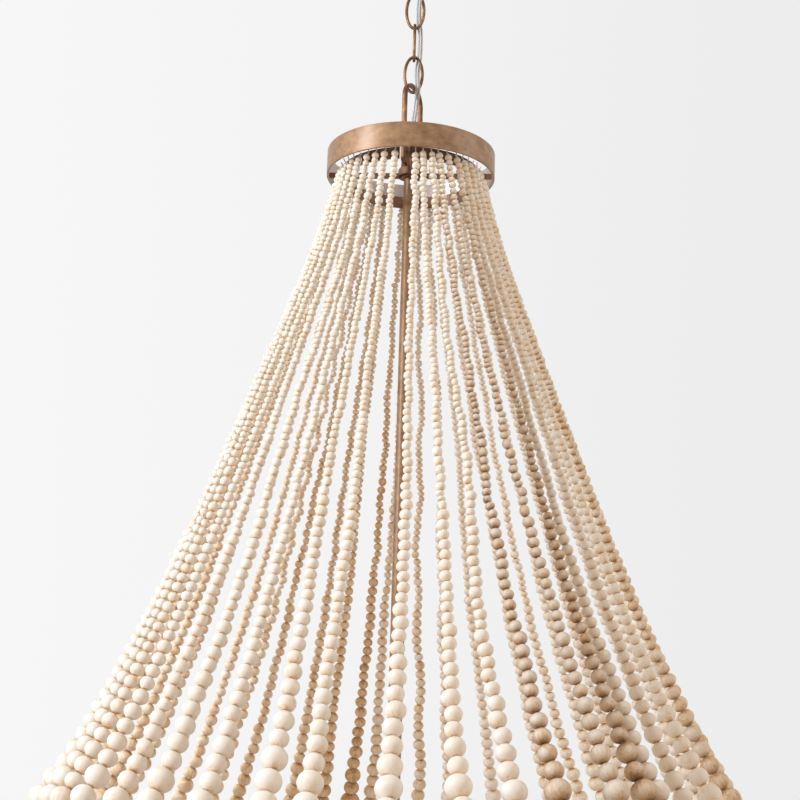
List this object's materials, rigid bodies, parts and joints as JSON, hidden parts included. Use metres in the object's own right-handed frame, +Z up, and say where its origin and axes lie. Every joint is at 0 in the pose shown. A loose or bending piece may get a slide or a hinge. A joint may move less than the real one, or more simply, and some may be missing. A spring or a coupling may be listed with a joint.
{
  "type": "beaded chandelier",
  "caption": "Chandelier of graduated pale wooden bead strands fanned from a metal crown to a wide lower band over a beaded basket, hung by a chain and cord from a ceiling canopy.",
  "frame": {"origin": "on the chandelier's axis at the ceiling, the plane of the mounting strap's top and the canopy's rim", "axes": "+Z up along the axis; -Y is the front, where the strand hoop's open joint is; +X to the right of the front"},
  "size_m": [0.6666, 0.6666, 1.2009],
  "materials": {
    "antique_gold": "antique gold, brushed round the bands, darker in places",
    "dark_bronze": "dark bronze, satin",
    "zinc": "zinc plated",
    "clear_cord": "clear insulation over one copper and one silver conductor",
    "pale_wood": "whitewashed natural wood, matte",
    "candle": "cream candle sleeve",
    "socket": "black lamp holder",
    "bulb_glass": "clear flame-shaped bulb"
  },
  "bodies": {
    "canopy": {"canopy_shell": "antique_gold", "mounting_strap": "zinc", "mounting_screw_left": "zinc", "mounting_screw_right": "zinc", "canopy_lock_nut": "zinc", "canopy_nipple": "zinc", "canopy_collar": "antique_gold", "canopy_loop": "antique_gold"},
    "link_1": {"chain_link_1": "antique_gold"},
    "link_2": {"chain_link_2": "antique_gold", "lamp_cord": "clear_cord"},
    "link_3": {"chain_link_3": "antique_gold"},
    "link_4": {"chain_link_4": "antique_gold"},
    "fixture": {"top_loop": "antique_gold", "loop_nut": "antique_gold", "hub_cup": "dark_bronze", "stem_nipple": "zinc", "crown_spokes": "dark_bronze", "crown_band": "antique_gold", "strand_hoop": "dark_bronze", "center_stem": "antique_gold", "upper_strands_1": "pale_wood", "upper_strands_2": "pale_wood", "upper_strands_3": "pale_wood", "upper_strands_4": "pale_wood", "upper_strands_5": "pale_wood", "upper_strands_6": "pale_wood", "lower_strands_1": "pale_wood", "lower_strands_2": "pale_wood", "lower_strands_3": "pale_wood", "lower_strands_4": "pale_wood", "lower_strands_5": "pale_wood", "lower_strands_6": "pale_wood", "lower_band": "antique_gold", "lower_spokes": "dark_bronze", "lamp_hub": "antique_gold", "lamp_arm_1": "antique_gold", "candle_cup_1": "antique_gold", "lamp_socket_1": "socket", "candle_cover_1": "candle", "bulb_1": "bulb_glass", "lamp_arm_2": "antique_gold", "candle_cup_2": "antique_gold", "lamp_socket_2": "socket", "candle_cover_2": "candle", "bulb_2": "bulb_glass", "lamp_arm_3": "antique_gold", "candle_cup_3": "antique_gold", "lamp_socket_3": "socket", "candle_cover_3": "candle", "bulb_3": "bulb_glass", "lamp_arm_4": "antique_gold", "candle_cup_4": "antique_gold", "lamp_socket_4": "socket", "candle_cover_4": "candle", "bulb_4": "bulb_glass", "bottom_plate": "antique_gold", "bottom_nipple": "zinc", "finial": "antique_gold"}
  },
  "joints": [
    {"name": "chain_link_1_swing", "type": "hinge", "parent": "canopy", "child": "link_1", "pos_m": [0, 0, -0.0646], "axis": [1, 0, 0], "range_deg": [-15, 15]},
    {"name": "chain_link_2_swing", "type": "hinge", "parent": "link_1", "child": "link_2", "pos_m": [0, 0, -0.0978], "axis": [0, 1, 0], "range_deg": [-15, 15], "deforming": ["lamp_cord"]},
    {"name": "chain_link_3_swing", "type": "hinge", "parent": "link_2", "child": "link_3", "pos_m": [0, 0, -0.1315], "axis": [1, 0, 0], "range_deg": [-15, 15]},
    {"name": "chain_link_4_swing", "type": "hinge", "parent": "link_3", "child": "link_4", "pos_m": [0, 0, -0.1652], "axis": [0, 1, 0], "range_deg": [-15, 15]},
    {"name": "chandelier_swing", "type": "hinge", "parent": "link_4", "child": "fixture", "pos_m": [0, 0, -0.1989], "axis": [1, 0, 0], "range_deg": [-15, 15]}
  ]
}
